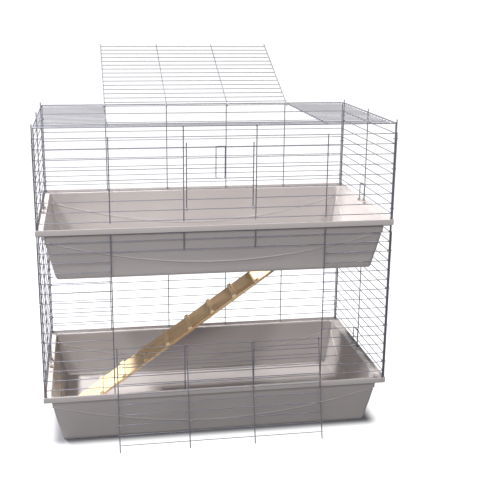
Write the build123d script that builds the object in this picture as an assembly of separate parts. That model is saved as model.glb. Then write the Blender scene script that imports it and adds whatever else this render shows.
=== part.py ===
from build123d import *

import os
from math import asin, cos, degrees, radians, sin, tan

# Two-storey wire rabbit cage: two moulded tubs, welded wire walls and roof, two drop-down
# doors, a roof lid, wire clips and a wooden ramp.
# Millimetres. Origin at the middle of the base, +X right, -Y front, +Z up.

# ---- driving dimensions -------------------------------------------------------------------
WIDTH = 1000.0            # over the tub rims, along X
DEPTH = 540.0             # over the tub rims, along Y
TUB_HEIGHT = 150.0
UPPER_BASE = 485.0        # underside of the upper tub
ROOF_Z = 908.0            # centre of the roof's edge wire
PITCH = 28.5              # spacing of the horizontal wires

# ---- tubs ---------------------------------------------------------------------------------
WALL = 3.0
LIP = 2.5                 # thickness of the outer lip of the rim
LIP_HEIGHT = 16.0
CHANNEL_DEPTH = 9.0       # the wire walls stand in this channel, below the lip's top
CHANNEL_WALL = 2.5
SHOULDER = 20.0           # from the rim's outside to the tub wall's outside, at the top
WALL_SECTIONS = (         # height, inset at the ends, inset at the long sides, corner radius
    (0.0, 51.0, 39.0, 6.0),
    (2.5, 47.0, 36.0, 10.0),
    (7.0, 45.0, 35.0, 12.0),
    (34.0, 38.5, 31.5, 13.0),
    (60.0, 32.0, 27.5, 12.0),
    (100.0, 24.0, 22.5, 10.0),
    (138.5, SHOULDER, SHOULDER, 8.0),
)
CREASE_STEP = 2.0         # the wall steps in by this much below its curved crease
CREASE_END = 38.0         # crease below the rim at the corners
CREASE_SIDE = 113.0       # and at the middle of a long side
CREASE_FRONT = 104.0      # and at the middle of an end
RIM_R = 4.0
CHANNEL_Z = TUB_HEIGHT - CHANNEL_DEPTH
CHANNEL_UNDER = CHANNEL_Z - CHANNEL_WALL

# ---- wires --------------------------------------------------------------------------------
UPRIGHT_R = 1.5
CROSS_R = 1.1
EDGE_R = 1.75
ROD_R = 2.0               # corner rods that join the wire walls
RING_R = 0.85
TOUCH = 0.02              # welded wires stand this far apart at their crossings
FIT = 0.3                 # play round a hinge wire
INSET = 4.8               # rim's outside to the centre of the outermost wires
WALL_X = WIDTH / 2 - INSET
WALL_Y = DEPTH / 2 - INSET
CROSS_BACK = UPRIGHT_R + CROSS_R + TOUCH
EDGE_BACK = UPRIGHT_R + EDGE_R + 2 * TOUCH
EDGE_UPRIGHT = 4.4        # end uprights stand this far from the corner rod
FRONT_UPRIGHTS = (100.0, 300.0)
BACK_UPRIGHTS = (98.0, 294.0)

# ---- levels -------------------------------------------------------------------------------
LOWER_FOOT = CHANNEL_Z
LOWER_TOP = UPPER_BASE + CHANNEL_UNDER
LOWER_FIRST = 169.5
LOWER_ROWS = [LOWER_FIRST + PITCH * i for i in range(16)]
LOWER_EDGE = LOWER_TOP - 6.25
UPPER_FOOT = UPPER_BASE + CHANNEL_Z
UPPER_ROWS = [ROOF_Z - PITCH * k for k in range(1, 10)]
UPPER_TIP = ROOF_Z + 10.0

# ---- doors, lid ---------------------------------------------------------------------------
LOWER_HINGE_ROW = 4
LOWER_HEAD_ROW = 14
LOWER_DOOR_LEAN = 15.1    # degrees from hanging straight down, its feet on the floor
LOWER_DOOR_WIRES = (-292.0, -94.0, 94.0, 292.0)
UPPER_HINGE_ROW = 7
UPPER_HEAD_ROW = 1
UPPER_DOOR_X = 92.0
UPPER_DOOR_TIP = 13.0
LID_HINGE_Y = 246.7
LID_FRONT_Y = PITCH * 3 - DEPTH / 2
LID_REST = 23.3           # degrees above horizontal, leaning on the rear edge wire
LID_WIRES = (-296.0, -98.7, 98.7, 296.0)
ROOF_SIDE = 300.0
TIP = 8.0                 # wire ends that overlap the edge of an opening
EYE_WIRE_R = 1.6
LATCH_R = 1.25
LATCH_HALF = 12.5
LATCH_LENGTH = 88.0
LATCH_BEND = 5.0

# ---- side clips ---------------------------------------------------------------------------
CLIP_R = 1.5
CLIP_INSET = 13.0
CLIP_PIVOT_UP = 5.0
CLIP_HALF = 22.0
CLIP_REACH = 5.0
CLIP_BEND = 3.5
TRUNNION = 9.5
TRUNNION_FIT = 0.06
LUG = (10.0, 5.0, 10.0)

# ---- ramp ---------------------------------------------------------------------------------
RAMP_SLOPE = 35.5
RAMP_FOOT = (-405.3, WALL + 0.5)
RAMP_LENGTH = 828.6
RAMP_WIDTH = 115.0
RAMP_THICK = 8.0
RAMP_Y = -12.0
BATTEN_FIRST = 93.0
BATTEN_STEP = 84.0
BATTENS = 9
BATTEN = (13.0, 111.0, 7.0)
HOLE_X = (66.0, 282.0)
HOLE_HALF_Y = 74.0
COLLAR = 10.0
HOOK_Y = 34.0
HOOK_WIDTH = 14.0
HOOK_THICK = 2.0
HOOK_LIFT = 0.6           # hook's underside over the collar's top
HOOK_GAP = 1.0            # hook's tongue to the collar's outside
HOOK_TONGUE = 7.6
STRAP_LENGTH = 55.0
SCREW_R = 1.5
SCREW_HEAD_R = 3.4
SCREW_HEAD = 1.8
SCREW_LENGTH = 6.0


# ---- helpers ------------------------------------------------------------------------------
def block(x, y, z):
    """A box from its lowest and highest values along each axis."""
    centre = ((x[0] + x[1]) / 2, (y[0] + y[1]) / 2, (z[0] + z[1]) / 2)
    return Pos(*centre) * Box(x[1] - x[0], y[1] - y[0], z[1] - z[0])


def rod(start, end, radius):
    """A straight wire between two points."""
    run = Vector(*end) - Vector(*start)
    return Solid.make_cylinder(radius, run.length, Plane(origin=start, z_dir=run))


def bent_wire(points, radius, bend):
    """A wire bent at each inner point of its path."""
    path = FilletPolyline(*points, radius=bend)
    return sweep(Plane(path @ 0, z_dir=path % 0) * Circle(radius), path=path)


def eye(x, y, z, inner):
    """A closed eye of hinge wire round an axis along X."""
    return Solid.make_torus(inner + EYE_WIRE_R, EYE_WIRE_R, Plane(origin=(x, y, z), z_dir=(1, 0, 0)))


def solids(*shapes):
    """One compound of all the solids in the shapes given."""
    return Compound([s for shape in shapes for s in shape.solids()])


def mirrored(shapes, plane):
    return [mirror(s, about=plane) for s in shapes]


# ---- tubs ---------------------------------------------------------------------------------
def tapered(extra, floor_z):
    """The tub's tapered body from floor_z up, all its walls moved in by extra."""
    sections = []
    for height, inset_x, inset_y, radius in WALL_SECTIONS:
        z = floor_z + height * (CHANNEL_UNDER - floor_z) / CHANNEL_UNDER
        size_x = WIDTH - 2 * (inset_x + extra)
        size_y = DEPTH - 2 * (inset_y + extra)
        sections.append(Pos(0, 0, z) * RectangleRounded(size_x, size_y, radius))
    return loft(sections, ruled=True)


def above_crease():
    """Everything above the curved crease that runs round the walls."""
    high = TUB_HEIGHT - CREASE_END
    cap = TUB_HEIGHT + 10.0
    parts = []
    for half, depth, plane in (
        (WIDTH / 2, CREASE_SIDE, Plane.XZ),
        (DEPTH / 2, CREASE_FRONT, Plane.YZ),
    ):
        arc = ThreePointArc((-half, high), (0, TUB_HEIGHT - depth), (half, high))
        edge = Polyline((half, high), (half, cap), (-half, cap), (-half, high))
        outline = make_face((arc + edge).edges())
        parts.append(extrude(plane * outline, amount=WIDTH, both=True))
    return parts[0] + parts[1]


def creased(extra, floor_z):
    """The tub body with its walls stepped in below the crease."""
    return (tapered(extra, floor_z) & above_crease()) + tapered(extra + CREASE_STEP, floor_z)


def rim():
    """Outer lip, channel floor and the small bead at the channel's inner edge."""

    def ring(outer, inner, radius, z):
        big = RectangleRounded(WIDTH - 2 * outer, DEPTH - 2 * outer, radius)
        small = RectangleRounded(WIDTH - 2 * inner, DEPTH - 2 * inner, max(radius - inner + outer, 1))
        return Pos(0, 0, z[0]) * extrude(big - small, amount=z[1] - z[0])

    wall_top = SHOULDER + WALL
    lip = ring(0, LIP, RIM_R, (TUB_HEIGHT - LIP_HEIGHT, TUB_HEIGHT))
    channel = ring(1, wall_top, RIM_R - 1, (CHANNEL_UNDER, CHANNEL_Z))
    bead = ring(SHOULDER, wall_top, RIM_R, (CHANNEL_UNDER, CHANNEL_Z + 2.0))
    return lip + channel + bead


def lugs():
    """Two drilled lugs in the channel at each end, for the clip's trunnions."""
    z = CHANNEL_Z + CLIP_PIVOT_UP
    shapes = []
    for side in (-1, 1):
        x = side * (WIDTH / 2 - CLIP_INSET)
        for end in (-1, 1):
            y = end * (CLIP_HALF + CLIP_BEND + FIT + LUG[1] / 2)
            lug = Pos(x, y, CHANNEL_Z - 0.5 + LUG[2] / 2) * Box(*LUG)
            bore = Pos(x, y, z) * Rot(90, 0, 0) * Cylinder(CLIP_R + TRUNNION_FIT, LUG[1] + 2)
            shapes.append(lug - bore)
    return shapes


def locating_ribs():
    """Small ribs across the channel that keep the wire walls in line."""
    shapes = []
    for x in (-400, -200, 0, 200, 400):
        for side in (-1, 1):
            y = side * (DEPTH / 2 - 14.5)
            shapes.append(Pos(x, y, CHANNEL_Z + 1.2) * Box(3, 11.5, 3.4))
    return shapes


def tub():
    """A tub standing on z = 0."""
    body = creased(0, 0) - creased(WALL, WALL) + rim()
    for piece in lugs() + locating_ribs():
        body += piece
    return body


def upper_tub():
    """The same tub with the ramp's hole and its collar."""
    y = (RAMP_Y - HOLE_HALF_Y, RAMP_Y + HOLE_HALF_Y)
    hole = block(HOLE_X, y, (-1, WALL + COLLAR + 1))
    collar_x = (HOLE_X[0] - WALL, HOLE_X[1] + WALL)
    collar_y = (y[0] - WALL, y[1] + WALL)
    collar = block(collar_x, collar_y, (WALL / 2, WALL + COLLAR))
    return Pos(0, 0, UPPER_BASE) * (tub() + collar - hole)


# ---- wire walls ---------------------------------------------------------------------------
def cross_wires_x(rows, y, ends):
    return [rod((ends[0], y, z), (ends[1], y, z), CROSS_R) for z in rows]


def lower_front_panel():
    """Front wall below, with the large door's opening."""
    y, cross_y = -WALL_Y, -WALL_Y + CROSS_BACK
    half = WALL_X - EDGE_UPRIGHT + UPRIGHT_R
    side = FRONT_UPRIGHTS[1] + UPRIGHT_R
    wires = []
    for i, z in enumerate(LOWER_ROWS):
        if LOWER_HINGE_ROW < i < LOWER_HEAD_ROW:
            wires += cross_wires_x([z], cross_y, (-half, -side + 2 * UPRIGHT_R))
            wires += cross_wires_x([z], cross_y, (side - 2 * UPRIGHT_R, half))
        else:
            wires += cross_wires_x([z], cross_y, (-half, half))
    sill = LOWER_ROWS[LOWER_HINGE_ROW] + UPRIGHT_R
    head = LOWER_ROWS[LOWER_HEAD_ROW] - UPRIGHT_R
    for sx in (-1, 1):
        edge_x = sx * (WALL_X - EDGE_UPRIGHT)
        wires.append(rod((edge_x, y, LOWER_FOOT), (edge_x, y, LOWER_TOP), UPRIGHT_R))
        full_x, short_x = sx * FRONT_UPRIGHTS[1], sx * FRONT_UPRIGHTS[0]
        wires.append(rod((full_x, y, LOWER_FOOT), (full_x, y, LOWER_TOP), UPRIGHT_R))
        wires.append(rod((short_x, y, LOWER_FOOT), (short_x, y, sill), UPRIGHT_R))
        wires.append(rod((short_x, y, head), (short_x, y, LOWER_TOP), UPRIGHT_R))
    wires.append(lower_edge_x(-1))
    return solids(*wires)


def lower_edge_x(side):
    half = WALL_X - EDGE_BACK - EDGE_R - 0.15
    y = side * (WALL_Y - EDGE_BACK)
    return rod((-half, y, LOWER_EDGE), (half, y, LOWER_EDGE), EDGE_R)


def back_panel(rows, foot, top):
    y, cross_y = WALL_Y, WALL_Y - CROSS_BACK
    edge = WALL_X - EDGE_UPRIGHT
    wires = cross_wires_x(rows, cross_y, (-edge - UPRIGHT_R, edge + UPRIGHT_R))
    for x in (*BACK_UPRIGHTS, edge):
        for sx in (-1, 1):
            wires.append(rod((sx * x, y, foot), (sx * x, y, top), UPRIGHT_R))
    return wires


def side_panel(rows, foot, top):
    """The right-hand end wall: three uprights and its cross wires along Y."""
    cross_x = WALL_X - CROSS_BACK
    edge = WALL_Y - EDGE_UPRIGHT
    reach = edge + 0.2
    wires = [rod((cross_x, -reach, z), (cross_x, reach, z), CROSS_R) for z in rows]
    for y in (-edge, 0, edge):
        wires.append(rod((WALL_X, y, foot), (WALL_X, y, top), UPRIGHT_R))
    return wires


def lower_side_panel():
    x = WALL_X - EDGE_BACK
    reach = WALL_Y - EDGE_UPRIGHT + 0.2
    edge = rod((x, -reach, LOWER_EDGE), (x, reach, LOWER_EDGE), EDGE_R)
    return side_panel(LOWER_ROWS, LOWER_FOOT, LOWER_TOP) + [edge]


def hooked_upright(x):
    """An upright whose top is bent back over the roof's edge wire."""
    y = -WALL_Y
    over = ROOF_Z + EDGE_R + UPRIGHT_R + 0.1
    back = y + 2 * (UPRIGHT_R + EDGE_R) + 0.3
    foot = UPPER_ROWS[-1] - UPRIGHT_R - 3
    points = [(x, y, foot), (x, y, over), (x, back, over), (x, back, ROOF_Z - 4)]
    return bent_wire(points, UPRIGHT_R, 2.6)


def upper_front_panel():
    """Front wall above, with the small door's opening in its middle bay."""
    y, cross_y = -WALL_Y, -WALL_Y + CROSS_BACK
    edge = WALL_X - EDGE_UPRIGHT
    half = edge + UPRIGHT_R
    inner = FRONT_UPRIGHTS[0] - UPRIGHT_R
    wires = []
    for k, z in enumerate(UPPER_ROWS):
        if UPPER_HEAD_ROW < k < UPPER_HINGE_ROW:
            wires += cross_wires_x([z], cross_y, (-half, -inner))
            wires += cross_wires_x([z], cross_y, (inner, half))
        else:
            wires += cross_wires_x([z], cross_y, (-half, half))
    low = UPPER_ROWS[-1] - UPRIGHT_R - 3
    for sx in (-1, 1):
        wires.append(rod((sx * edge, y, UPPER_FOOT), (sx * edge, y, ROOF_Z + 3), UPRIGHT_R))
        x = sx * FRONT_UPRIGHTS[1]
        wires.append(rod((x, y, low), (x, y, UPPER_ROWS[0] + 3), UPRIGHT_R))
        wires.append(hooked_upright(sx * FRONT_UPRIGHTS[0]))
    return solids(*wires)


def corner_rods(foot, top):
    points = [(sx * WALL_X, sy * WALL_Y) for sx in (-1, 1) for sy in (-1, 1)]
    return solids(*[rod((x, y, foot), (x, y, top), ROD_R) for x, y in points])


def corner_rings(heights):
    """Wire rings that tie two walls and their corner rod together."""
    major = 6.2
    rings = []
    for sx in (-1, 1):
        for sy in (-1, 1):
            centre = (sx * (WALL_X - 2.3), sy * (WALL_Y - 2.3))
            for z in heights:
                rings.append(Solid.make_torus(major, RING_R, Plane(origin=(*centre, z))))
    return solids(*rings)


# ---- roof ---------------------------------------------------------------------------------
def roof_edge_wires():
    """The heavier wire round the roof's edge."""
    half_x, half_y = WALL_X - EDGE_BACK, WALL_Y - EDGE_BACK
    long_x, short_y = half_x + EDGE_R, half_y - EDGE_R - TOUCH
    wires = []
    for s in (-1, 1):
        wires.append(rod((-long_x, s * half_y, ROOF_Z), (long_x, s * half_y, ROOF_Z), EDGE_R))
        wires.append(rod((s * half_x, -short_y, ROOF_Z), (s * half_x, short_y, ROOF_Z), EDGE_R))
    return solids(*wires)


def roof_panel():
    """Cross wires left and right of the lid, its two side wires and the strip before it."""
    half_x, half_y = WALL_X - EDGE_BACK, WALL_Y - EDGE_BACK
    depth_z = ROOF_Z - 0.25
    cross_z = depth_z - CROSS_BACK
    reach_x = half_x - EDGE_R - 0.3
    reach_y = half_y - EDGE_R - 0.1
    wires = []
    rows = [-DEPTH / 2 + PITCH * k for k in range(1, 19)]
    side = ROOF_SIDE - UPRIGHT_R - 0.2
    for y in rows:
        if y < LID_FRONT_Y - PITCH / 2:
            wires.append(rod((-reach_x, y, cross_z), (reach_x, y, cross_z), CROSS_R))
        elif abs(y - LID_FRONT_Y) > 8 and abs(y - LID_HINGE_Y) > 8:
            wires.append(rod((-reach_x, y, cross_z), (-side, y, cross_z), CROSS_R))
            wires.append(rod((side, y, cross_z), (reach_x, y, cross_z), CROSS_R))
    front_z = depth_z - 2 * UPRIGHT_R - TOUCH
    wires.append(rod((-reach_x, LID_FRONT_Y, front_z), (reach_x, LID_FRONT_Y, front_z), UPRIGHT_R))
    wires.append(rod((-reach_x, LID_HINGE_Y, cross_z), (reach_x, LID_HINGE_Y, cross_z), CROSS_R))
    for x in (-ROOF_SIDE, ROOF_SIDE):
        wires.append(rod((x, -reach_y, depth_z), (x, reach_y, depth_z), UPRIGHT_R))
    return solids(*wires)


def door_grid(stiles, first, pitch, count, length, cross_side):
    """A hinged grid standing on z = 0 with its hinge axis on X and its eyes round that axis."""
    inner = CROSS_R + FIT
    wires = []
    for x in stiles:
        stile = rod((x, 0, inner + EYE_WIRE_R), (x, 0, length), UPRIGHT_R)
        wires.append(eye(x, 0, 0, inner) + stile)
    half = max(stiles) + UPRIGHT_R
    for i in range(count):
        z = first + pitch * i
        y = cross_side * CROSS_BACK
        wires.append(rod((-half, y, z), (half, y, z), CROSS_R))
    return solids(*wires)


def lower_door():
    """Large door, hanging open from its sill wire with its feet on the floor."""
    length = LOWER_ROWS[LOWER_HEAD_ROW] - LOWER_ROWS[LOWER_HINGE_ROW] + TIP
    grid = door_grid(LOWER_DOOR_WIRES, 15.0, PITCH, 10, length, 1)
    hinge = (0, -WALL_Y + CROSS_BACK, LOWER_ROWS[LOWER_HINGE_ROW])
    return Pos(*hinge) * Rot(180 - LOWER_DOOR_LEAN, 0, 0) * grid


def upper_door_lean():
    """Degrees by which the shut door leans out to pass in front of its head wire."""
    rise = UPPER_ROWS[UPPER_HEAD_ROW] - UPPER_ROWS[UPPER_HINGE_ROW]
    return degrees(asin((CROSS_BACK + FIT) / rise))


def on_upper_door(shape):
    """Moves a shape from the door's own frame, hinge on X, to the shut door."""
    hinge = (0, -WALL_Y + CROSS_BACK, UPPER_ROWS[UPPER_HINGE_ROW])
    return Pos(*hinge) * Rot(upper_door_lean(), 0, 0) * shape


def upper_door():
    """Small door, shut, hinged on its sill wire."""
    rise = UPPER_ROWS[UPPER_HEAD_ROW] - UPPER_ROWS[UPPER_HINGE_ROW]
    stiles = (-UPPER_DOOR_X, UPPER_DOOR_X)
    return on_upper_door(door_grid(stiles, PITCH, PITCH, 6, rise + UPPER_DOOR_TIP, -1))


def upper_door_latch():
    """A long wire loop that slides on the face of the small door."""
    top = UPPER_ROWS[UPPER_HEAD_ROW] - UPPER_ROWS[UPPER_HINGE_ROW] + 3.0
    y = -CROSS_BACK - CROSS_R - LATCH_R - 0.2
    low = top - LATCH_LENGTH
    x = LATCH_HALF
    points = [(-x, y, top), (-x, y, low), (x, y, low), (x, y, top)]
    loop = bent_wire(points, LATCH_R, LATCH_BEND)
    bar = rod((-x, y, top - 0.5), (x, y, top - 0.5), LATCH_R)
    return on_upper_door(solids(loop + bar))


def roof_lid():
    """Lid, open, leaning back on the roof's rear edge wire."""
    length = LID_HINGE_Y - LID_FRONT_Y + TIP
    grid = door_grid(LID_WIRES, PITCH, PITCH, 15, length, 1)
    hinge_z = ROOF_Z - 0.25 - CROSS_BACK
    return Pos(0, LID_HINGE_Y, hinge_z) * Rot(LID_REST - 90, 0, 0) * grid


# ---- side clips ---------------------------------------------------------------------------
def side_clip(base_z, side, row_z):
    """A wire bail on two trunnions, its bar over one cross wire of the end wall."""
    x = side * (WIDTH / 2 - CLIP_INSET)
    z = base_z + CHANNEL_Z + CLIP_PIVOT_UP
    high = row_z + CROSS_R + CLIP_R + 0.6
    out = x + side * CLIP_REACH
    y, foot = CLIP_HALF, CLIP_HALF + TRUNNION
    points = [
        (x, -foot, z), (x, -y, z), (x, -y, high), (out, -y, high + 0.4),
        (out, y, high + 0.4), (x, y, high), (x, y, z), (x, foot, z),
    ]
    return bent_wire(points, CLIP_R, CLIP_BEND)


# ---- ramp ---------------------------------------------------------------------------------
def on_ramp(shape):
    """Moves a shape from a level ramp, foot at x = 0 and underside at z = 0, to its place."""
    return Pos(RAMP_FOOT[0], RAMP_Y, RAMP_FOOT[1]) * Rot(0, -RAMP_SLOPE, 0) * shape


def screw_places():
    return [(x, y) for x in (RAMP_LENGTH - 45, RAMP_LENGTH - 22) for y in (-HOOK_Y, HOOK_Y)]


def screws():
    shapes = []
    for x, y in screw_places():
        head_z = RAMP_THICK + HOOK_THICK
        head = Pos(x, y, head_z + SCREW_HEAD / 2) * Cylinder(SCREW_HEAD_R, SCREW_HEAD)
        head = fillet(head.edges().group_by(Axis.Z)[-1], SCREW_HEAD * 0.6)
        shank_z = head_z - SCREW_LENGTH / 2
        shapes.append(head + Pos(x, y, shank_z) * Cylinder(SCREW_R, SCREW_LENGTH))
    return shapes


def screw_holes(shape):
    for x, y in screw_places():
        shape -= Pos(x, y, RAMP_THICK) * Cylinder(SCREW_R, 2 * SCREW_LENGTH)
    return shape


def ramp_board():
    half = RAMP_WIDTH / 2
    board = block((0, RAMP_LENGTH), (-half, half), (0, RAMP_THICK))
    board = chamfer(board.edges().filter_by(Axis.X), 1.0)
    return on_ramp(screw_holes(board))


def ramp_battens():
    shapes = []
    for i in range(BATTENS):
        x = BATTEN_FIRST + BATTEN_STEP * i
        batten = Pos(x, 0, RAMP_THICK + BATTEN[2] / 2) * Box(*BATTEN)
        batten = fillet(batten.edges().group_by(Axis.Z)[-1], 1.5)
        shapes.append(on_ramp(batten))
    return solids(*shapes)


def ramp_hooks():
    """Bent steel straps, screwed to the board and hooked over the collar of the hole."""
    slope = radians(RAMP_SLOPE)
    start = RAMP_LENGTH - STRAP_LENGTH
    over = UPPER_BASE + WALL + COLLAR + HOOK_LIFT
    outside = HOLE_X[1] + WALL + HOOK_GAP
    tongue = over - HOOK_TONGUE

    def at(along, up):
        x = RAMP_FOOT[0] + along * cos(slope) - up * sin(slope)
        return x, RAMP_FOOT[1] + along * sin(slope) + up * cos(slope)

    def knee(up, z):
        return RAMP_FOOT[0] + (z - RAMP_FOOT[1] - up / cos(slope)) / tan(slope), z

    top = RAMP_THICK + HOOK_THICK
    profile = [
        at(start, RAMP_THICK), knee(RAMP_THICK, over), (outside, over), (outside, tongue),
        (outside + HOOK_THICK, tongue), (outside + HOOK_THICK, over + HOOK_THICK),
        knee(top, over + HOOK_THICK), at(start, top),
    ]
    outline = Plane.XZ * make_face(Polyline(*profile, close=True).edges())
    shapes = []
    for y in (-HOOK_Y, HOOK_Y):
        strap = Pos(0, RAMP_Y + y, 0) * extrude(outline, amount=HOOK_WIDTH / 2, both=True)
        for sx, sy in screw_places():
            if sy == y:
                strap -= on_ramp(Pos(sx, sy, RAMP_THICK) * Cylinder(SCREW_R, 2 * SCREW_LENGTH))
        shapes.append(strap)
    return solids(*shapes)


# ---- all nodes ----------------------------------------------------------------------------
def build():
    """Every node of the cage, by name."""
    lower_right = lower_side_panel()
    upper_right = side_panel(UPPER_ROWS, UPPER_FOOT, UPPER_TIP)
    lower_back = back_panel(LOWER_ROWS, LOWER_FOOT, LOWER_TOP) + [lower_edge_x(1)]
    upper_back = back_panel(UPPER_ROWS, UPPER_FOOT, ROOF_Z + 1)
    lower_rings = [200 + 28.5 * 4 * i for i in range(4)]
    upper_rings = [UPPER_ROWS[k] + PITCH / 2 for k in (8, 4, 1)]
    parts = {
        "lower_tub": tub(),
        "upper_tub": upper_tub(),
        "lower_front_panel": lower_front_panel(),
        "lower_back_panel": solids(*lower_back),
        "lower_right_panel": solids(*lower_right),
        "lower_left_panel": solids(*mirrored(lower_right, Plane.YZ)),
        "upper_front_panel": upper_front_panel(),
        "upper_back_panel": solids(*upper_back),
        "upper_right_panel": solids(*upper_right),
        "upper_left_panel": solids(*mirrored(upper_right, Plane.YZ)),
        "roof_panel": roof_panel(),
        "roof_edge_wires": roof_edge_wires(),
        "lower_corner_rods": corner_rods(LOWER_FOOT, LOWER_ROWS[-1] + 3),
        "upper_corner_rods": corner_rods(UPPER_FOOT, UPPER_ROWS[0] + 3),
        "lower_corner_rings": corner_rings(lower_rings),
        "upper_corner_rings": corner_rings(upper_rings),
        "roof_lid": roof_lid(),
        "lower_door": lower_door(),
        "upper_door": upper_door(),
        "upper_door_latch": upper_door_latch(),
        "ramp_board": ramp_board(),
        "ramp_battens": ramp_battens(),
        "ramp_hooks": ramp_hooks(),
        "ramp_screws": solids(*[on_ramp(s) for s in screws()]),
    }
    for side, name in ((-1, "left"), (1, "right")):
        parts[f"lower_{name}_clip"] = side_clip(0, side, LOWER_ROWS[1])
        parts[f"upper_{name}_clip"] = side_clip(UPPER_BASE, side, UPPER_ROWS[-2])
    return parts


os.makedirs("parts", exist_ok=True)
for name, shape in build().items():
    export_step(shape, f"parts/{name}.step")
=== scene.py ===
from math import cos, pi, radians, sin

import bpy
import numpy as np
from mathutils import Matrix, Vector


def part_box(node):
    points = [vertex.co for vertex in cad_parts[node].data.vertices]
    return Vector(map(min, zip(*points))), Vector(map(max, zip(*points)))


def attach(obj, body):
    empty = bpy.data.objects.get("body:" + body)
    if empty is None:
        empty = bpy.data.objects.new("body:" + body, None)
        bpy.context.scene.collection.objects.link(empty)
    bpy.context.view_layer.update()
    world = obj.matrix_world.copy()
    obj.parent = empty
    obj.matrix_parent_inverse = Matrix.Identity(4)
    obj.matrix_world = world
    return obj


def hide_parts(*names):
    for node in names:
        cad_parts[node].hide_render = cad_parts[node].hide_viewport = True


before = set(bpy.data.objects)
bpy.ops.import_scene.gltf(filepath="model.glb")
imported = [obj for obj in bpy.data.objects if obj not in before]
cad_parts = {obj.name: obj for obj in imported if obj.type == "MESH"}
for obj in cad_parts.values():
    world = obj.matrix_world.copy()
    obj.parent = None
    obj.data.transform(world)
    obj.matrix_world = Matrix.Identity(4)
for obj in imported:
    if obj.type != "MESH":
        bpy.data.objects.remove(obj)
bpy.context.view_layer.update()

# ---- camera and light, in metres --------------------------------------------------------------
CAMERA_AT = (-0.3498, -2.6130, 1.2261)
CAMERA_PITCH, CAMERA_YAW, CAMERA_ROLL = 0.26407, -0.16953, -0.00916     # in radians
LENS, SENSOR = 63.87, 36.0           # in millimetres
SHIFT = (0.0229, -0.0109)
CLIP_END = 60.0
FLOOR_SIZE = 30.0
BACKDROP = 1.05           # strength of the surroundings, as the camera sees them
AROUND = 0.16             # and as the object sees them
FLOOR_GLOW = 1.05         # the floor glows, so that the camera sees it white
GLOW_FROM, GLOW_TO = 0.006, 0.055    # the glow comes up between these distances from the tub's foot; nearer in, the dark floor is a painted contact shadow
GLOW_UNSEEN = 0.12        # share of the glow that lights the object
LAMPS = (                 # name, place, target, size, watts
    ("key", (-2.05, 0.98, 3.2), (0, 0, 0.3), 0.32, 340),
    ("front", (-0.5, -3.0, 1.8), (0, 0, 0.3), 1.0, 56),
    ("left", (-1.9, -1.0, 3.0), (0, 0, 0.4), 0.35, 70),
    ("right", (1.7, -1.1, 3.0), (0, 0, 0.4), 0.35, 55),
)

# ---- tub, in millimetres from its own base ----------------------------------------------------
TUB_WIDTH, TUB_DEPTH, TUB_HEIGHT = 1000.0, 540.0, 150.0
UPPER_BASE = 485.0
WALL = 3.0
SHOULDER = 20.0           # inset of the wall's top, under the rim
WALL_SECTIONS = (         # height, inset at the ends, inset at the long sides, corner radius
    (0.0, 51.0, 39.0, 6.0),
    (2.5, 47.0, 36.0, 10.0),
    (7.0, 45.0, 35.0, 12.0),
    (34.0, 38.5, 31.5, 13.0),
    (60.0, 32.0, 27.5, 12.0),
    (100.0, 24.0, 22.5, 10.0),
    (138.5, SHOULDER, SHOULDER, 8.0),
)
WALL_SOFTEN = 3.5         # the wall's section is smoothed over this much height each way
WALL_SAMPLES = 9          # from this many sections
WALL_LEVELS = 140         # heights at which the wall's outline is worked out
CREASE_STEP = 2.0         # the wall steps in by this much below its curved crease
CREASE_SOFT = 3.4         # half height of the crease
CREASE_BEAD = 2.2         # the crease stands proud by up to this much, inside and outside
CREASE_AT_CORNER = 38.0   # how far the crease is below the rim's top, at the corners,
CREASE_AT_SIDE = 113.0    # at the middle of a long side
CREASE_AT_END = 104.0     # and at the middle of an end
ROWS_BELOW, ROWS_CREASE, ROWS_ABOVE = 29, 15, 15     # rows of points below, along and above it
ROWS_CROWD = 1.5          # the rows below it crowd together towards the floor
LONG_STEPS, SHORT_STEPS, CORNER_POINTS = 72, 40, 9   # of each outline
CHANNEL_UNDER, CHANNEL_FLOOR, CHANNEL_EDGE = 138.5, 141.0, 143.0     # heights
RIM_SKIN, RIM_LIP = 2.5, 134.0       # the rim's thickness and its lower edge
RIM_CORNER, CORNER_GROWTH = 4.0, 5.0 # corner radius at no inset, and the inset that adds 1 mm to it
UNDER_BEND = 3.0          # bend between the wall and the rim's underside
RIM_BEND = 1.5            # bends in the rim's hollow and in its channel
TOP_BEND = 1.6            # drop of the rim's rounded top on each side
LIP_BEND, LIP_INNER_BEND = 0.8, 0.9  # bends along the rim's lower edge
SEAT_BEND, SEAT_CROWN, SEAT_DROP = 1.0, 1.2, 0.5     # of the low edge between channel and inner wall
HOLE_X, HOLE_Y = (66.0, 282.0), (-86.0, 62.0)
COLLAR, COLLAR_EDGE = 10.0, 1.0      # height of the hole's collar and its chamfer
RIB_X = (-400, -200, 0, 200, 400)
RIB, RIB_IN, RIB_EDGE = (3.0, 11.5, 3.4), 14.5, 0.5
LUG, LUG_X, LUG_Y, LUG_EDGE = (10.0, 5.0, 10.0), 487.0, 28.3, 0.8
SUNK = 0.5                # ribs, lugs and the collar start this far inside the skin
MM = 0.001

# ---- wires, in metres ---------------------------------------------------------------------------
SIDES = 14
STRAIGHT = 0.0026         # a wire whose points stay this near its axis is straight
SHORTEST = 0.02           # every wire but a ring is longer than this
END_FACE = 0.0001         # points this near a wire's end lie on its end face
END_LENGTH = 0.006        # a door wire's eye lies in this much of its end
END_TAPER, END_SIZE = 0.25, 0.78     # a wire's end narrows, as shares of its radius
EYE_R, EYE_WIRE, EYE_GAP = 0.0030, 0.0015, 0.0001
UPRIGHT_R = 0.0015
HOOK_BEND, HOOK_DOWN = 0.0026, 0.0073
EDGE_BEND = 0.007

RAMP_SLOPE = radians(35.5)


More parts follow.
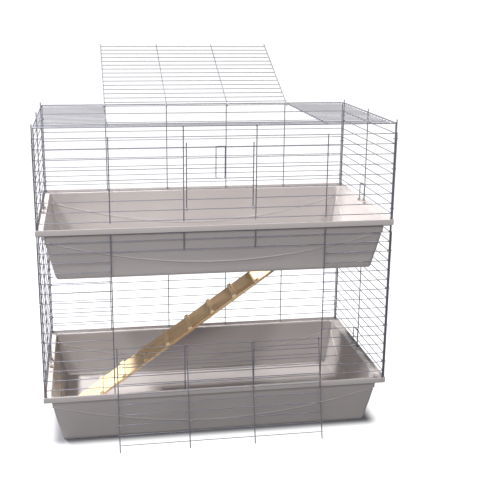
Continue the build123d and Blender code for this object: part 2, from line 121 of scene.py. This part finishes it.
# ---- node helpers -------------------------------------------------------------------------------
def new_material(name):
    """A material with its node tree and its shader."""
    material = bpy.data.materials.new(name)
    material.use_nodes = True
    tree = material.node_tree
    return material, tree, tree.nodes["Principled BSDF"]


def add(tree, kind, **values):
    """A node of this kind, with the given inputs set."""
    node = tree.nodes.new(kind)
    for key, value in values.items():
        node.inputs[key.replace("_", " ")].default_value = value
    return node


def coordinates(tree, rotation=(0, 0, 0)):
    """Object coordinates, turned."""
    place = tree.nodes.new("ShaderNodeTexCoord")
    mapping = add(tree, "ShaderNodeMapping", Rotation=rotation)
    tree.links.new(place.outputs["Object"], mapping.inputs["Vector"])
    return mapping.outputs["Vector"]


def noise(tree, vector, scale, detail=4.0, roughness=0.5):
    """Noise from 0 to 1."""
    node = add(tree, "ShaderNodeTexNoise", Scale=scale, Detail=detail, Roughness=roughness)
    tree.links.new(vector, node.inputs["Vector"])
    return node.outputs["Fac"]


def colour_ramp(tree, factor, *stops):
    """A colour ramp with stops given as (position, colour)."""
    node = tree.nodes.new("ShaderNodeValToRGB")
    elements = node.color_ramp.elements
    while len(elements) < len(stops):
        elements.new(0.5)
    for element, (position, colour) in zip(elements, stops):
        element.position = position
        element.color = (*colour, 1)
    tree.links.new(factor, node.inputs["Fac"])
    return node.outputs["Color"]


def spread(tree, factor, low, high):
    """Maps a factor from 0..1 to low..high."""
    node = add(tree, "ShaderNodeMapRange", To_Min=low, To_Max=high)
    tree.links.new(factor, node.inputs["Value"])
    return node.outputs["Result"]


def bump(tree, shader, height, strength, distance):
    """Fine relief on the shader's surface."""
    node = add(tree, "ShaderNodeBump", Strength=strength, Distance=distance)
    tree.links.new(height, node.inputs["Height"])
    tree.links.new(node.outputs["Normal"], shader.inputs["Normal"])


# ---- materials ----------------------------------------------------------------------------------
def tub_plastic():
    """Warm grey moulded plastic with a fine grain and faint cloudiness."""
    material, tree, shader = new_material("tub_plastic")
    vector = coordinates(tree)
    cloud = noise(tree, vector, 3.5, 3.0)
    dark, light = (0.362, 0.332, 0.324), (0.390, 0.359, 0.350)
    colour = colour_ramp(tree, cloud, (0.3, dark), (0.7, light))
    tree.links.new(colour, shader.inputs["Base Color"])
    smear = noise(tree, vector, 22.0, 5.0, 0.6)
    tree.links.new(spread(tree, smear, 0.30, 0.44), shader.inputs["Roughness"])
    bump(tree, shader, noise(tree, vector, 900.0, 2.0), 0.10, 0.0004)
    shader.inputs["IOR"].default_value = 1.5
    shader.inputs["Subsurface Weight"].default_value = 0.04
    shader.inputs["Subsurface Scale"].default_value = 0.004
    return material


def zinc(name, colour, rough):
    """Zinc-plated steel with a fine grain and a slightly mottled plate."""
    material, tree, shader = new_material(name)
    vector = coordinates(tree)
    mottle = noise(tree, vector, 180.0, 4.0, 0.6)
    dark = tuple(c * 0.86 for c in colour)
    plate = colour_ramp(tree, mottle, (0.3, dark), (0.65, colour))
    tree.links.new(plate, shader.inputs["Base Color"])
    tree.links.new(spread(tree, mottle, rough + 0.10, rough - 0.05), shader.inputs["Roughness"])
    bump(tree, shader, noise(tree, vector, 1400.0, 2.0), 0.12, 0.0002)
    shader.inputs["Metallic"].default_value = 1.0
    return material


def pine(name, light, dark):
    """Planed pine with its grain along the ramp's slope."""
    material, tree, shader = new_material(name)
    vector = coordinates(tree, rotation=(0, RAMP_SLOPE, 0))
    stretch = add(tree, "ShaderNodeMapping", Scale=(0.9, 11.0, 26.0))
    tree.links.new(vector, stretch.inputs["Vector"])
    grain = stretch.outputs["Vector"]
    bands = add(tree, "ShaderNodeTexWave", Scale=2.6, Distortion=7.0, Detail=3.0, Detail_Scale=1.6)
    bands.bands_direction = "Y"
    tree.links.new(grain, bands.inputs["Vector"])
    figure = colour_ramp(tree, bands.outputs["Fac"], (0.1, light), (0.55, light), (0.92, dark))
    fibre = noise(tree, grain, 34.0, 6.0, 0.65)
    streak = colour_ramp(tree, fibre, (0.35, (0.80, 0.74, 0.66)), (0.62, (1.0, 1.0, 1.0)))
    mix = tree.nodes.new("ShaderNodeMix")
    mix.data_type = "RGBA"
    mix.blend_type = "MULTIPLY"
    mix.inputs["Factor"].default_value = 0.75
    tree.links.new(figure, mix.inputs["A"])
    tree.links.new(streak, mix.inputs["B"])
    tree.links.new(mix.outputs["Result"], shader.inputs["Base Color"])
    tree.links.new(spread(tree, fibre, 0.50, 0.68), shader.inputs["Roughness"])
    bump(tree, shader, fibre, 0.25, 0.0006)
    return material


# ---- meshes -------------------------------------------------------------------------------------
class Shell:
    """Collects vertices and faces of one piece, in metres."""

    def __init__(self):
        self.points, self.faces = [], []

    def grid(self, rings, closed_along=False):
        """Quads between successive closed rings of equal length."""
        start, count = len(self.points), len(rings[0])
        for ring in rings:
            self.points.extend([tuple(p) for p in ring])
        last = len(rings) if closed_along else len(rings) - 1
        for i in range(last):
            a, b = start + i * count, start + (i + 1) % len(rings) * count
            for j in range(count):
                k = (j + 1) % count
                self.faces.append((a + j, a + k, b + k, b + j))
        return start

    def tube(self, path, radius, closed=False):
        """A round wire along a path, its ends slightly chamfered."""
        path = [Vector(p) for p in path]
        if not closed:
            first, last = path[0], path[-1]
            head = (path[1] - first).normalized() * radius * END_TAPER
            tail = (path[-2] - last).normalized() * radius * END_TAPER
            path = [first, first + head, *path[1:-1], last + tail, last]
        count = len(path)
        rings, side = [], None
        for i, point in enumerate(path):
            before = path[(i - 1) % count] if closed or i else point
            after = path[(i + 1) % count] if closed or i < count - 1 else point
            along = (after - before).normalized()
            if side is None:
                side = along.orthogonal().normalized()
            side = (side - along * side.dot(along)).normalized()
            other = along.cross(side)
            size = radius * (END_SIZE if not closed and i in (0, count - 1) else 1.0)
            turns = [2 * pi * j / SIDES for j in range(SIDES)]
            rings.append([point + side * cos(t) * size + other * sin(t) * size for t in turns])
        start = self.grid(rings, closed)
        if not closed:
            self.faces.append(tuple(reversed(range(start, start + SIDES))))
            end = start + (count - 1) * SIDES
            self.faces.append(tuple(range(end, end + SIDES)))

    def block(self, low, high, edge):
        """A box with small chamfers on its upright and top edges."""
        (x0, y0, z0), (x1, y1, z1) = low, high

        def ring(inset, z):
            xa, xb, ya, yb = x0 + inset, x1 - inset, y0 + inset, y1 - inset
            return [
                (xb, ya + edge, z), (xb, yb - edge, z), (xb - edge, yb, z), (xa + edge, yb, z),
                (xa, yb - edge, z), (xa, ya + edge, z), (xa + edge, ya, z), (xb - edge, ya, z),
            ]

        rings = [ring(0, z0), ring(0, z1 - edge), ring(edge, z1)]
        count = len(rings[0])
        start = self.grid(rings)
        top = start + count * (len(rings) - 1)
        self.faces.append(tuple(reversed(range(start, start + count))))
        self.faces.append(tuple(range(top, top + count)))

    def piece(self, name, material, body, node, angle=40):
        """Makes the piece's object, smooth up to this angle, standing for a CAD node."""
        mesh = bpy.data.meshes.new(name)
        mesh.from_pydata(self.points, [], self.faces)
        mesh.validate()
        mesh.shade_smooth()
        mesh.set_sharp_from_angle(angle=radians(angle))
        mesh.materials.append(material)
        made = bpy.data.objects.new(name, mesh)
        bpy.context.scene.collection.objects.link(made)
        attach(made, body)
        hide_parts(node)


# ---- wires rebuilt round from the CAD's own wires -------------------------------------------------
def islands(node):
    """The point sets of a CAD node's separate solids."""
    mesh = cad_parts[node].data
    known, index = {}, []      # points by their place in micrometres
    for v in mesh.vertices:
        key = tuple(round(c * 1e6) for c in v.co)
        index.append(known.setdefault(key, len(known)))
    points = np.array([[c * 1e-6 for c in key] for key in known])
    root = list(range(len(known)))

    def find(i):
        while root[i] != i:
            root[i] = root[root[i]]
            i = root[i]
        return i

    for polygon in mesh.polygons:
        corners = [find(index[i]) for i in polygon.vertices]
        for other in corners[1:]:
            root[find(other)] = find(corners[0])
    groups = {}
    for i in range(len(known)):
        groups.setdefault(find(i), []).append(i)
    return [points[members] for members in groups.values()]


def axis_of(points):
    """Centre, direction, positions along it and distances from it of an island's points."""
    centre = points.mean(axis=0)
    direction = np.linalg.svd(points - centre, full_matrices=False)[2][0]
    along = (points - centre) @ direction
    away = np.linalg.norm(points - centre - np.outer(along, direction), axis=1)
    return centre, direction, along, away


def circle(centre, radius, normal, count=36):
    """Points round a circle."""
    side = Vector(normal).orthogonal().normalized()
    other = Vector(normal).normalized().cross(side)
    turns = [2 * pi * i / count for i in range(count)]
    return [Vector(centre) + side * cos(t) * radius + other * sin(t) * radius for t in turns]


def bent(corners, bend, steps=6):
    """A path through corners, each inner one rounded."""
    corners = [Vector(c) for c in corners]
    path = [corners[0]]
    for before, at, after in zip(corners, corners[1:], corners[2:]):
        start = at + (before - at).normalized() * bend
        end = at + (after - at).normalized() * bend
        for i in range(steps + 1):
            t = i / steps
            path.append(start * (1 - t) ** 2 + at * 2 * t * (1 - t) + end * t * t)
    return [*path, corners[-1]]


def straight_wire(shell, points, along, radius):
    """A straight wire between the middles of its two end faces."""
    first = points[along < along.min() + END_FACE].mean(axis=0)
    last = points[along > along.max() - END_FACE].mean(axis=0)
    shell.tube([first, last], radius)


def corner_ring(shell, points):
    """A small ring lying flat."""
    low, high = points.min(axis=0), points.max(axis=0)
    thin = (high[2] - low[2]) / 2
    shell.tube(circle((low + high) / 2, (high[0] - low[0]) / 2 - thin, (0, 0, 1)), thin, closed=True)


def hinged_wire(shell, points, radius):
    """A door wire with its eye round the hinge wire."""
    centre, direction, along, _ = axis_of(points)
    near = points[along < along.min() + END_LENGTH]
    far = points[along > along.max() - END_LENGTH]
    if np.ptp(far, axis=0).sum() > np.ptp(near, axis=0).sum():
        direction, along = -direction, -along
    low = Vector(centre + direction * along.min())
    tip = Vector(centre + direction * along.max())
    run = Vector(direction)
    hub = low + run * (EYE_R + EYE_WIRE + EYE_GAP)
    middle = points[:, 0].min() / 2 + points[:, 0].max() / 2
    hub.x = middle
    tip.x = middle
    shell.tube(circle(hub, EYE_R, (1, 0, 0)), EYE_WIRE, closed=True)
    shell.tube([hub + run * EYE_R, tip], radius)


def hooked_wire(shell, points, radius):
    """An upright bent back over the roof's edge wire."""
    low, high = points.min(axis=0), points.max(axis=0)
    x, top = (low[0] + high[0]) / 2, high[2] - radius
    front, back = low[1] + radius, high[1] - radius
    corners = [(x, front, low[2]), (x, front, top), (x, back, top), (x, back, top - HOOK_DOWN)]
    shell.tube(bent(corners, HOOK_BEND), radius)


def wire_piece(name, node, material, body):
    """Rebuilds every wire of a CAD node as a smooth round wire."""
    shell = Shell()
    for points in islands(node):
        _, _, along, away = axis_of(points)
        if np.ptp(along) < SHORTEST:
            corner_ring(shell, points)
        elif away.max() < STRAIGHT:
            straight_wire(shell, points, along, away.max())
        elif node == "upper_front_panel":
            hooked_wire(shell, points, UPRIGHT_R)
        else:
            hinged_wire(shell, points, UPRIGHT_R)
    shell.piece(name, material, body, node)


def roof_edge(material):
    """The roof's edge wire, bent round at its four corners."""
    low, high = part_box("roof_edge_wires")
    r = (high.z - low.z) / 2
    x, y, z = high.x - r, high.y - r, (low.z + high.z) / 2
    corners = [(x, -y), (x, y), (-x, y), (-x, -y)]
    path = []
    for i, corner in enumerate(corners):
        before, after = corners[i - 1], corners[(i + 1) % len(corners)]
        path += bent([(*before, z), (*corner, z), (*after, z)], EDGE_BEND)[1:-1]
    shell = Shell()
    shell.tube(path, r, closed=True)
    shell.piece("roof_edge_wire", material, "cage", "roof_edge_wires")


# ---- tubs ---------------------------------------------------------------------------------------
def outline(inset_x, inset_y, radius):
    """Points round a rectangle with rounded corners, counted the same for every ring."""
    hx, hy = TUB_WIDTH / 2 - inset_x, TUB_DEPTH / 2 - inset_y
    reach_x, reach_y = hx - radius, hy - radius
    quarter = np.linspace(0, pi / 2, CORNER_POINTS)
    points = []
    for sx, sy in ((1, 1), (-1, 1), (-1, -1), (1, -1)):
        long_side = sx * sy > 0
        for t in quarter if long_side else quarter[::-1]:
            points.append((sx * (reach_x + radius * cos(t)), sy * (reach_y + radius * sin(t))))
        steps = LONG_STEPS if long_side else SHORT_STEPS
        for t in np.linspace(1, -1, steps + 1)[1:-1]:
            points.append((sx * reach_x * t, sy * hy) if long_side else (sx * hx, sy * reach_y * t))
    return np.array(points)


def wall_section(height):
    """Insets and corner radius of the tub wall at a height, smoothed."""
    heights, *columns = zip(*WALL_SECTIONS)
    near = np.clip(height + np.linspace(-WALL_SOFTEN, WALL_SOFTEN, WALL_SAMPLES), 0, heights[-1])
    return [float(np.interp(near, heights, column).mean()) for column in columns]


def wall_outlines(extra):
    """The wall's outline at every level, moved in by the extra amount."""
    table = []
    for height in np.linspace(0, CHANNEL_UNDER, WALL_LEVELS):
        inset_x, inset_y, radius = wall_section(height)
        table.append(outline(inset_x + extra, inset_y + extra, radius))
    return np.array(table)


def crease_heights(ring):
    """The height of the curved crease at each point of an outline."""
    share = np.abs(ring) / np.abs(ring).max(axis=0)
    on_side = share[:, 1] >= share[:, 0]
    along = np.where(on_side, share[:, 0], share[:, 1])
    sag = np.where(on_side, CREASE_AT_SIDE, CREASE_AT_END) - CREASE_AT_CORNER
    return TUB_HEIGHT - CREASE_AT_CORNER - sag * (1 - along ** 2)


def wall_rows(extra, floor):
    """Rows of points up the tapered wall, closer together along its curved crease."""
    table = wall_outlines(extra)
    fold = crease_heights(table[WALL_LEVELS // 2])
    bead = CREASE_BEAD if extra == 0 else -CREASE_BEAD
    everywhere = np.arange(len(fold))
    low_edge, high_edge = fold - CREASE_SOFT, fold + CREASE_SOFT
    rows = []

    def row(z, step):
        share = np.clip((z - floor) / (CHANNEL_UNDER - floor), 0, 1) * (WALL_LEVELS - 1)
        low = np.minimum(share.astype(int), WALL_LEVELS - 2)
        part = (share - low)[:, None]
        flat = table[low, everywhere] * (1 - part) + table[low + 1, everywhere] * part
        flat = flat * (1 - step / np.abs(flat).max(axis=0))
        rows.append([(x, y, h) for (x, y), h in zip(flat, z)])

    for t in np.linspace(0, 1, ROWS_BELOW + 1)[:-1]:
        row(floor + (low_edge - floor) * t ** ROWS_CROWD, CREASE_STEP)
    for t in np.linspace(0, 1, ROWS_CREASE):
        eased = CREASE_STEP * (1 - t * t * (3 - 2 * t))
        row(low_edge + 2 * CREASE_SOFT * t, eased - bead * sin(pi * t) ** 2)
    for t in np.linspace(0, 1, ROWS_ABOVE + 1)[1:]:
        row(high_edge + (CHANNEL_UNDER - UNDER_BEND - high_edge) * t, 0)
    return rows


def soft_corner(start, at, end, steps=4):
    """Profile points of a rounded corner."""
    start, at, end = (np.array(p, float) for p in (start, at, end))
    turns = np.linspace(0, 1, steps + 1)
    return [tuple(start * (1 - t) ** 2 + at * 2 * t * (1 - t) + end * t * t) for t in turns]


def rim_profile():
    """Inset and height of the rim, from the outer wall's top round to the inner wall's top."""
    outer, inner, skin = SHOULDER, SHOULDER + WALL, RIM_SKIN
    under, channel, edge, lip, top = CHANNEL_UNDER, CHANNEL_FLOOR, CHANNEL_EDGE, RIM_LIP, TUB_HEIGHT
    bend, seat = RIM_BEND, outer + SEAT_CROWN
    profile = soft_corner((outer, under - UNDER_BEND), (outer, under), (outer - UNDER_BEND, under))
    profile += soft_corner((skin + bend, under), (skin, under), (skin, under - bend))
    profile += soft_corner((skin, lip + LIP_BEND), (skin, lip), (skin - LIP_INNER_BEND, lip), 3)
    profile += soft_corner((LIP_BEND, lip), (0, lip), (0, lip + LIP_BEND), 3)
    profile += soft_corner((0, top - TOP_BEND), (0, top), (skin / 2, top))
    profile += soft_corner((skin / 2, top), (skin, top), (skin, top - TOP_BEND))[1:]
    profile += soft_corner((skin, channel + bend), (skin, channel), (skin + bend, channel))
    profile += soft_corner((outer - bend, channel), (outer, channel), (outer, channel + SEAT_BEND))
    profile += soft_corner((outer, edge - LIP_BEND), (outer, edge), (seat, edge))
    profile += soft_corner((seat, edge), (inner, edge), (inner, channel - SEAT_DROP))
    return profile


def tub_rings():
    """Every ring of the tub's skin, from the underside round the rim to the floor."""
    rings = wall_rows(0, 0)
    for inset, z in rim_profile()[1:]:
        radius = RIM_CORNER + inset / CORNER_GROWTH
        rings.append([(x, y, z) for x, y in outline(inset, inset, radius)])
    return rings + wall_rows(WALL, WALL)[::-1]


def tub_piece(node, base, material, with_hole):
    """A whole tub as one skin, with its lugs and ribs, and the ramp's hole in the upper one."""
    shell = Shell()
    rings = [[(x * MM, y * MM, (z + base) * MM) for x, y, z in ring] for ring in tub_rings()]
    shell.grid(rings)
    count, total = len(rings[0]), len(rings) * len(rings[0])
    if with_hole:
        for first, z, up in ((0, base, False), (total - count, base + WALL, True)):
            floor_with_hole(shell, first, count, z, up)
        collar(shell, base)
    else:
        shell.faces.append(tuple(reversed(range(count))))
        shell.faces.append(tuple(range(total - count, total)))
    ribs_and_lugs(shell, base + CHANNEL_FLOOR - SUNK)
    shell.piece(f"{node}_shell", material, "cage", node, angle=38)


def hole_ring(z, out=0.0):
    """The four corners of the ramp's hole, moved outwards."""
    (x0, x1), (y0, y1) = HOLE_X, HOLE_Y
    x0, x1, y0, y1 = x0 - out, x1 + out, y0 - out, y1 + out
    return [(x * MM, y * MM, z * MM) for x, y in ((x1, y0), (x1, y1), (x0, y1), (x0, y0))]


def floor_with_hole(shell, first, count, z, up):
    """Four flat faces between the tub's floor outline and the hole."""
    start = len(shell.points)
    shell.points.extend(hole_ring(z))
    outer = np.array([shell.points[first + i][:2] for i in range(count)])
    toward_corners = ((0.5, -1), (0.5, 1), (-0.5, 1), (-0.5, -1))
    nearest = [int(np.argmax(outer @ toward)) for toward in toward_corners]
    for i in range(4):
        a, b = nearest[i], nearest[(i + 1) % 4]
        span = [(a + k) % count for k in range((b - a) % count + 1)]
        face = [first + k for k in span] + [start + (i + 1) % 4, start + i]
        shell.faces.append(tuple(face) if up else tuple(reversed(face)))


def collar(shell, base):
    """The raised edge round the ramp's hole."""
    top = base + WALL + COLLAR
    bend = top - COLLAR_EDGE
    shell.grid([
        hole_ring(base), hole_ring(bend), hole_ring(top, COLLAR_EDGE),
        hole_ring(top, WALL - COLLAR_EDGE), hole_ring(bend, WALL), hole_ring(base + WALL - SUNK, WALL),
    ])


def standing_block(shell, x, y, z, size, edge):
    """A block, in millimetres, that stands at a place."""
    wide, deep, tall = size
    low = (x - wide / 2, y - deep / 2, z)
    high = (x + wide / 2, y + deep / 2, z + tall)
    shell.block([c * MM for c in low], [c * MM for c in high], edge * MM)


def ribs_and_lugs(shell, z):
    """Ribs across the rim's channel and the lugs of the side clips."""
    for x in RIB_X:
        for side in (-1, 1):
            standing_block(shell, x, side * (TUB_DEPTH / 2 - RIB_IN), z, RIB, RIB_EDGE)
    for sx in (-1, 1):
        for sy in (-1, 1):
            standing_block(shell, sx * LUG_X, sy * LUG_Y, z, LUG, LUG_EDGE)


# ---- the object ---------------------------------------------------------------------------------
def paint(node, material, smooth=50):
    """Gives a CAD node its material and smooth normals."""
    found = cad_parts[node]
    found.data.materials.clear()
    found.data.materials.append(material)
    found.data.shade_smooth()
    found.data.set_sharp_from_angle(angle=radians(smooth))


def tubs():
    """The two tubs."""
    plastic = tub_plastic()
    tub_piece("lower_tub", 0, plastic, with_hole=False)
    tub_piece("upper_tub", UPPER_BASE, plastic, with_hole=True)


def wires():
    """Walls, corners, roof, lid and doors."""
    plate = zinc("wire_zinc", (0.26, 0.26, 0.30), 0.45)
    for level in ("lower", "upper"):
        for side in ("front", "back", "left", "right"):
            wire_piece(f"{level}_{side}_wires", f"{level}_{side}_panel", plate, "cage")
        for kind in ("rod", "ring"):
            wire_piece(f"{level}_corner_{kind}_wires", f"{level}_corner_{kind}s", plate, "cage")
    wire_piece("roof_wires", "roof_panel", plate, "cage")
    roof_edge(plate)
    for door in ("roof_lid", "lower_door", "upper_door"):
        wire_piece(f"{door}_wires", door, plate, door)


def clips_and_latch():
    """The side clips and the small door's latch, kept as the CAD's own shapes."""
    spring = zinc("spring_wire_zinc", (0.32, 0.33, 0.37), 0.35)
    for level in ("lower", "upper"):
        for side in ("left", "right"):
            paint(f"{level}_{side}_clip", spring)
    paint("upper_door_latch", spring)


def climbing_ramp():
    """The ramp's board, battens, hooks and screws, kept as the CAD's own shapes."""
    steel = zinc("hook_steel", (0.62, 0.63, 0.66), 0.32)
    paint("ramp_board", pine("pine_board", (0.80, 0.60, 0.38), (0.60, 0.38, 0.19)), smooth=30)
    paint("ramp_battens", pine("pine_batten", (0.84, 0.66, 0.44), (0.66, 0.45, 0.24)), smooth=30)
    paint("ramp_hooks", steel, smooth=30)
    paint("ramp_screws", steel)


# ---- studio -------------------------------------------------------------------------------------
def surroundings(scene):
    """A white backdrop for the camera, and a dimmer one that lights the object."""
    world = bpy.data.worlds.new("studio")
    scene.world = world
    world.use_nodes = True
    tree = world.node_tree
    seen = tree.nodes["Background"]
    seen.inputs["Color"].default_value = (1.0, 1.0, 1.0, 1)
    seen.inputs["Strength"].default_value = BACKDROP
    around = add(tree, "ShaderNodeBackground", Color=(0.90, 0.92, 1.0, 1), Strength=AROUND)
    path = tree.nodes.new("ShaderNodeLightPath")
    mix = tree.nodes.new("ShaderNodeMixShader")
    tree.links.new(path.outputs["Is Camera Ray"], mix.inputs["Fac"])
    tree.links.new(around.outputs["Background"], mix.inputs[1])
    tree.links.new(seen.outputs["Background"], mix.inputs[2])
    tree.links.new(mix.outputs["Shader"], tree.nodes["World Output"].inputs["Surface"])


def beyond_foot(tree):
    """Distance over the floor from the patch that the lower tub stands on."""
    _, foot_x, foot_y, _ = WALL_SECTIONS[0]
    half_foot = ((TUB_WIDTH / 2 - foot_x) * MM, (TUB_DEPTH / 2 - foot_y) * MM, 0)
    place = tree.nodes.new("ShaderNodeTexCoord")
    socket = place.outputs["Object"]
    steps = (("ABSOLUTE", None), ("SUBTRACT", half_foot), ("MAXIMUM", (0, 0, 0)), ("LENGTH", None))
    for operation, value in steps:
        node = tree.nodes.new("ShaderNodeVectorMath")
        node.operation = operation
        tree.links.new(socket, node.inputs[0])
        if value is not None:
            node.inputs[1].default_value = value
        socket = node.outputs[0]
    return node.outputs["Value"]


def floor_white():
    """A pale floor that glows to white all round the tub, mostly for the camera; the glow fades out
    towards the lower tub's foot over the floor's dark own colour, which paints a contact shadow there.
    """
    material, tree, shader = new_material("floor_white")
    shader.inputs["Base Color"].default_value = (0.10, 0.10, 0.11, 1)
    shader.inputs["Roughness"].default_value = 0.7
    shader.inputs["Emission Color"].default_value = (1, 1, 1, 1)
    # painted contact shadow: the glow is nil at the lower tub's foot and comes up between GLOW_FROM
    # and GLOW_TO
    glow = add(tree, "ShaderNodeMapRange", From_Min=GLOW_FROM, From_Max=GLOW_TO, To_Max=FLOOR_GLOW)
    glow.interpolation_type = "SMOOTHSTEP"
    tree.links.new(beyond_foot(tree), glow.inputs["Value"])
    path = tree.nodes.new("ShaderNodeLightPath")
    product = tree.nodes.new("ShaderNodeMath")
    product.operation = "MULTIPLY"
    tree.links.new(glow.outputs["Result"], product.inputs[0])
    tree.links.new(spread(tree, path.outputs["Is Camera Ray"], GLOW_UNSEEN, 1.0), product.inputs[1])
    tree.links.new(product.outputs["Value"], shader.inputs["Emission Strength"])
    return material


def floor(scene):
    """The floor that the cage stands on."""
    mesh = bpy.data.meshes.new("floor")
    s = FLOOR_SIZE / 2
    mesh.from_pydata([(-s, -s, 0), (s, -s, 0), (s, s, 0), (-s, s, 0)], [], [(0, 1, 2, 3)])
    mesh.materials.append(floor_white())
    made = bpy.data.objects.new("floor", mesh)
    scene.collection.objects.link(made)


def lamp(scene, name, at, toward, size, power):
    """A square lamp that points at its target."""
    light = bpy.data.lights.new(name, "AREA")
    light.size = size
    light.energy = power
    made = bpy.data.objects.new(name, light)
    made.location = at
    made.rotation_euler = (Vector(toward) - Vector(at)).to_track_quat("-Z", "Y").to_euler()
    scene.collection.objects.link(made)


def studio():
    """Backdrop, floor and lamps."""
    scene = bpy.context.scene
    scene.view_settings.view_transform = "Standard"
    surroundings(scene)
    floor(scene)
    for name, at, toward, size, power in LAMPS:
        lamp(scene, name, at, toward, size, power)


def camera():
    """The camera, from the front and a little to the left."""
    data = bpy.data.cameras.new("camera")
    data.lens = LENS
    data.sensor_width = SENSOR
    data.shift_x, data.shift_y = SHIFT
    data.clip_end = CLIP_END
    made = bpy.data.objects.new("camera", data)
    turn = (
        Matrix.Rotation(CAMERA_YAW, 4, "Z") @ Matrix.Rotation(-CAMERA_PITCH, 4, "X")
        @ Matrix.Rotation(CAMERA_ROLL, 4, "Y") @ Matrix.Rotation(pi / 2, 4, "X")
    )
    made.matrix_world = Matrix.Translation(CAMERA_AT) @ turn
    bpy.context.scene.collection.objects.link(made)
    bpy.context.scene.camera = made


camera()
studio()
tubs()
wires()
clips_and_latch()
climbing_ramp()
